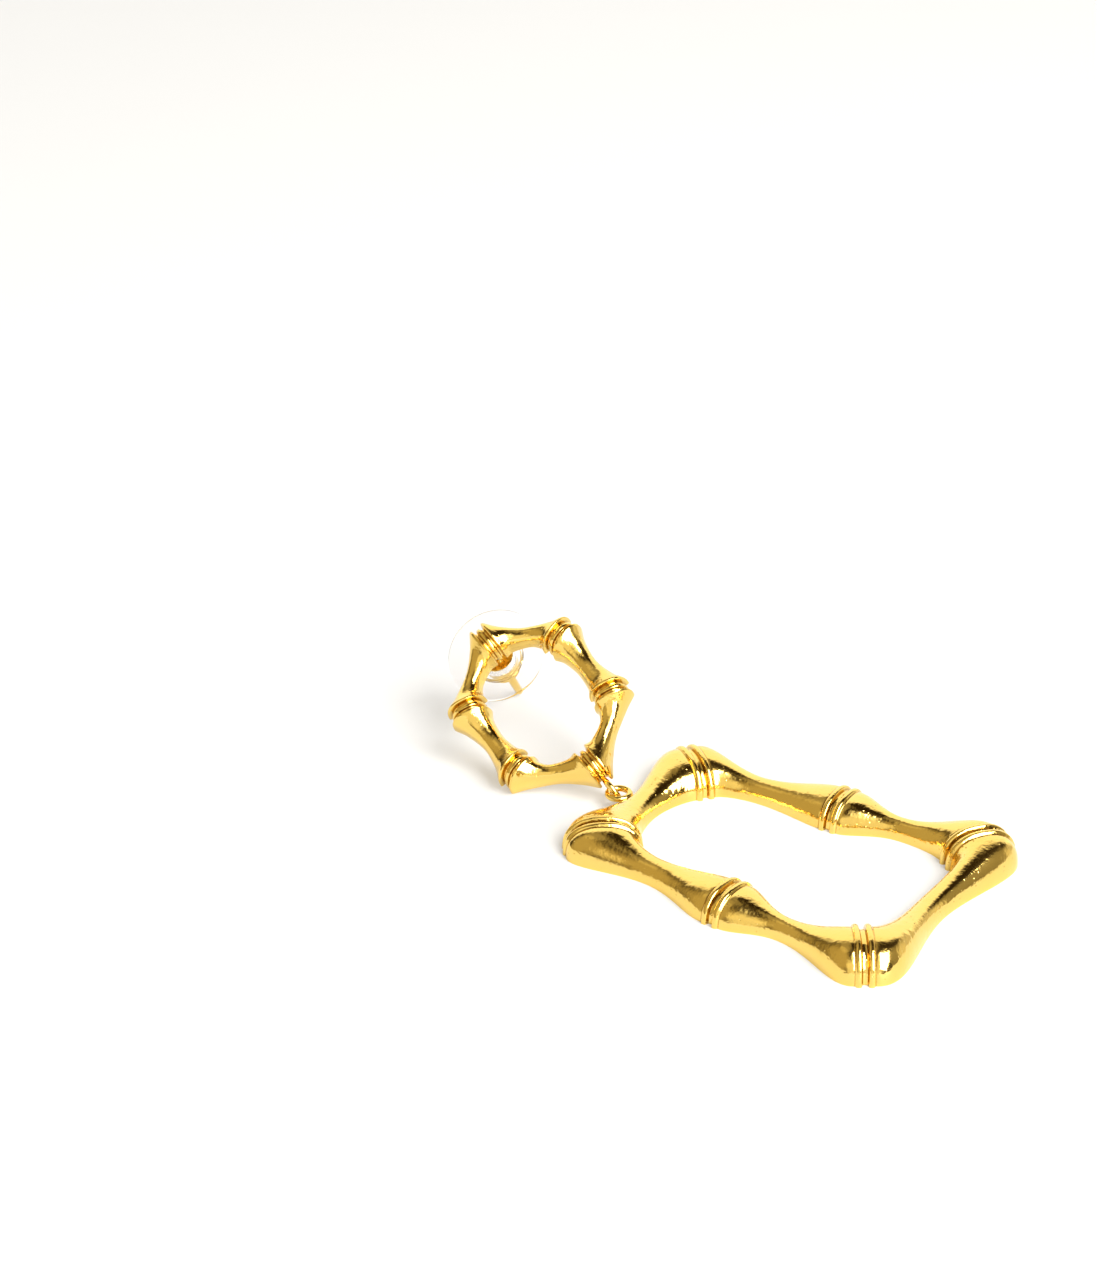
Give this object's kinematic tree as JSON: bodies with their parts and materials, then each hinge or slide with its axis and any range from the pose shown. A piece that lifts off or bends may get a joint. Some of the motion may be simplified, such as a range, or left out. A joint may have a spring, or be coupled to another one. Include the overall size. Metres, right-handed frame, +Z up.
{
  "type": "bamboo earring",
  "caption": "Polished gold bamboo-ring drop earring: a long open bamboo drop hangs from a bamboo ring with an ear post, held by a sliding clutch with a clear comfort disc.",
  "frame": {"origin": "centre of the bounding box in plan, on the surface on which the earring lies", "axes": "+X along the long drop, away from the stud ring; +Z up from the surface"},
  "size_m": [0.0652, 0.0306, 0.0144],
  "materials": {
    "drop_gold": "gold-plated, mirror polished, cast hollow back",
    "stud_gold": "gold-plated, mirror polished, stippled back",
    "clutch_gold": "gold-plated, mirror polished",
    "clear_plastic": "clear, smooth"
  },
  "bodies": {
    "earring": {"drop_frame": "drop_gold", "stud_ring": "stud_gold"},
    "clutch": {"clutch_bullet": "clutch_gold", "clutch_disc": "clear_plastic"}
  },
  "joints": [
    {"name": "clutch_slide", "type": "slide", "parent": "earring", "child": "clutch", "axis": [-0.1871, 0.6316, -0.7524], "range_m": [-0.0018, 0.0093]}
  ]
}
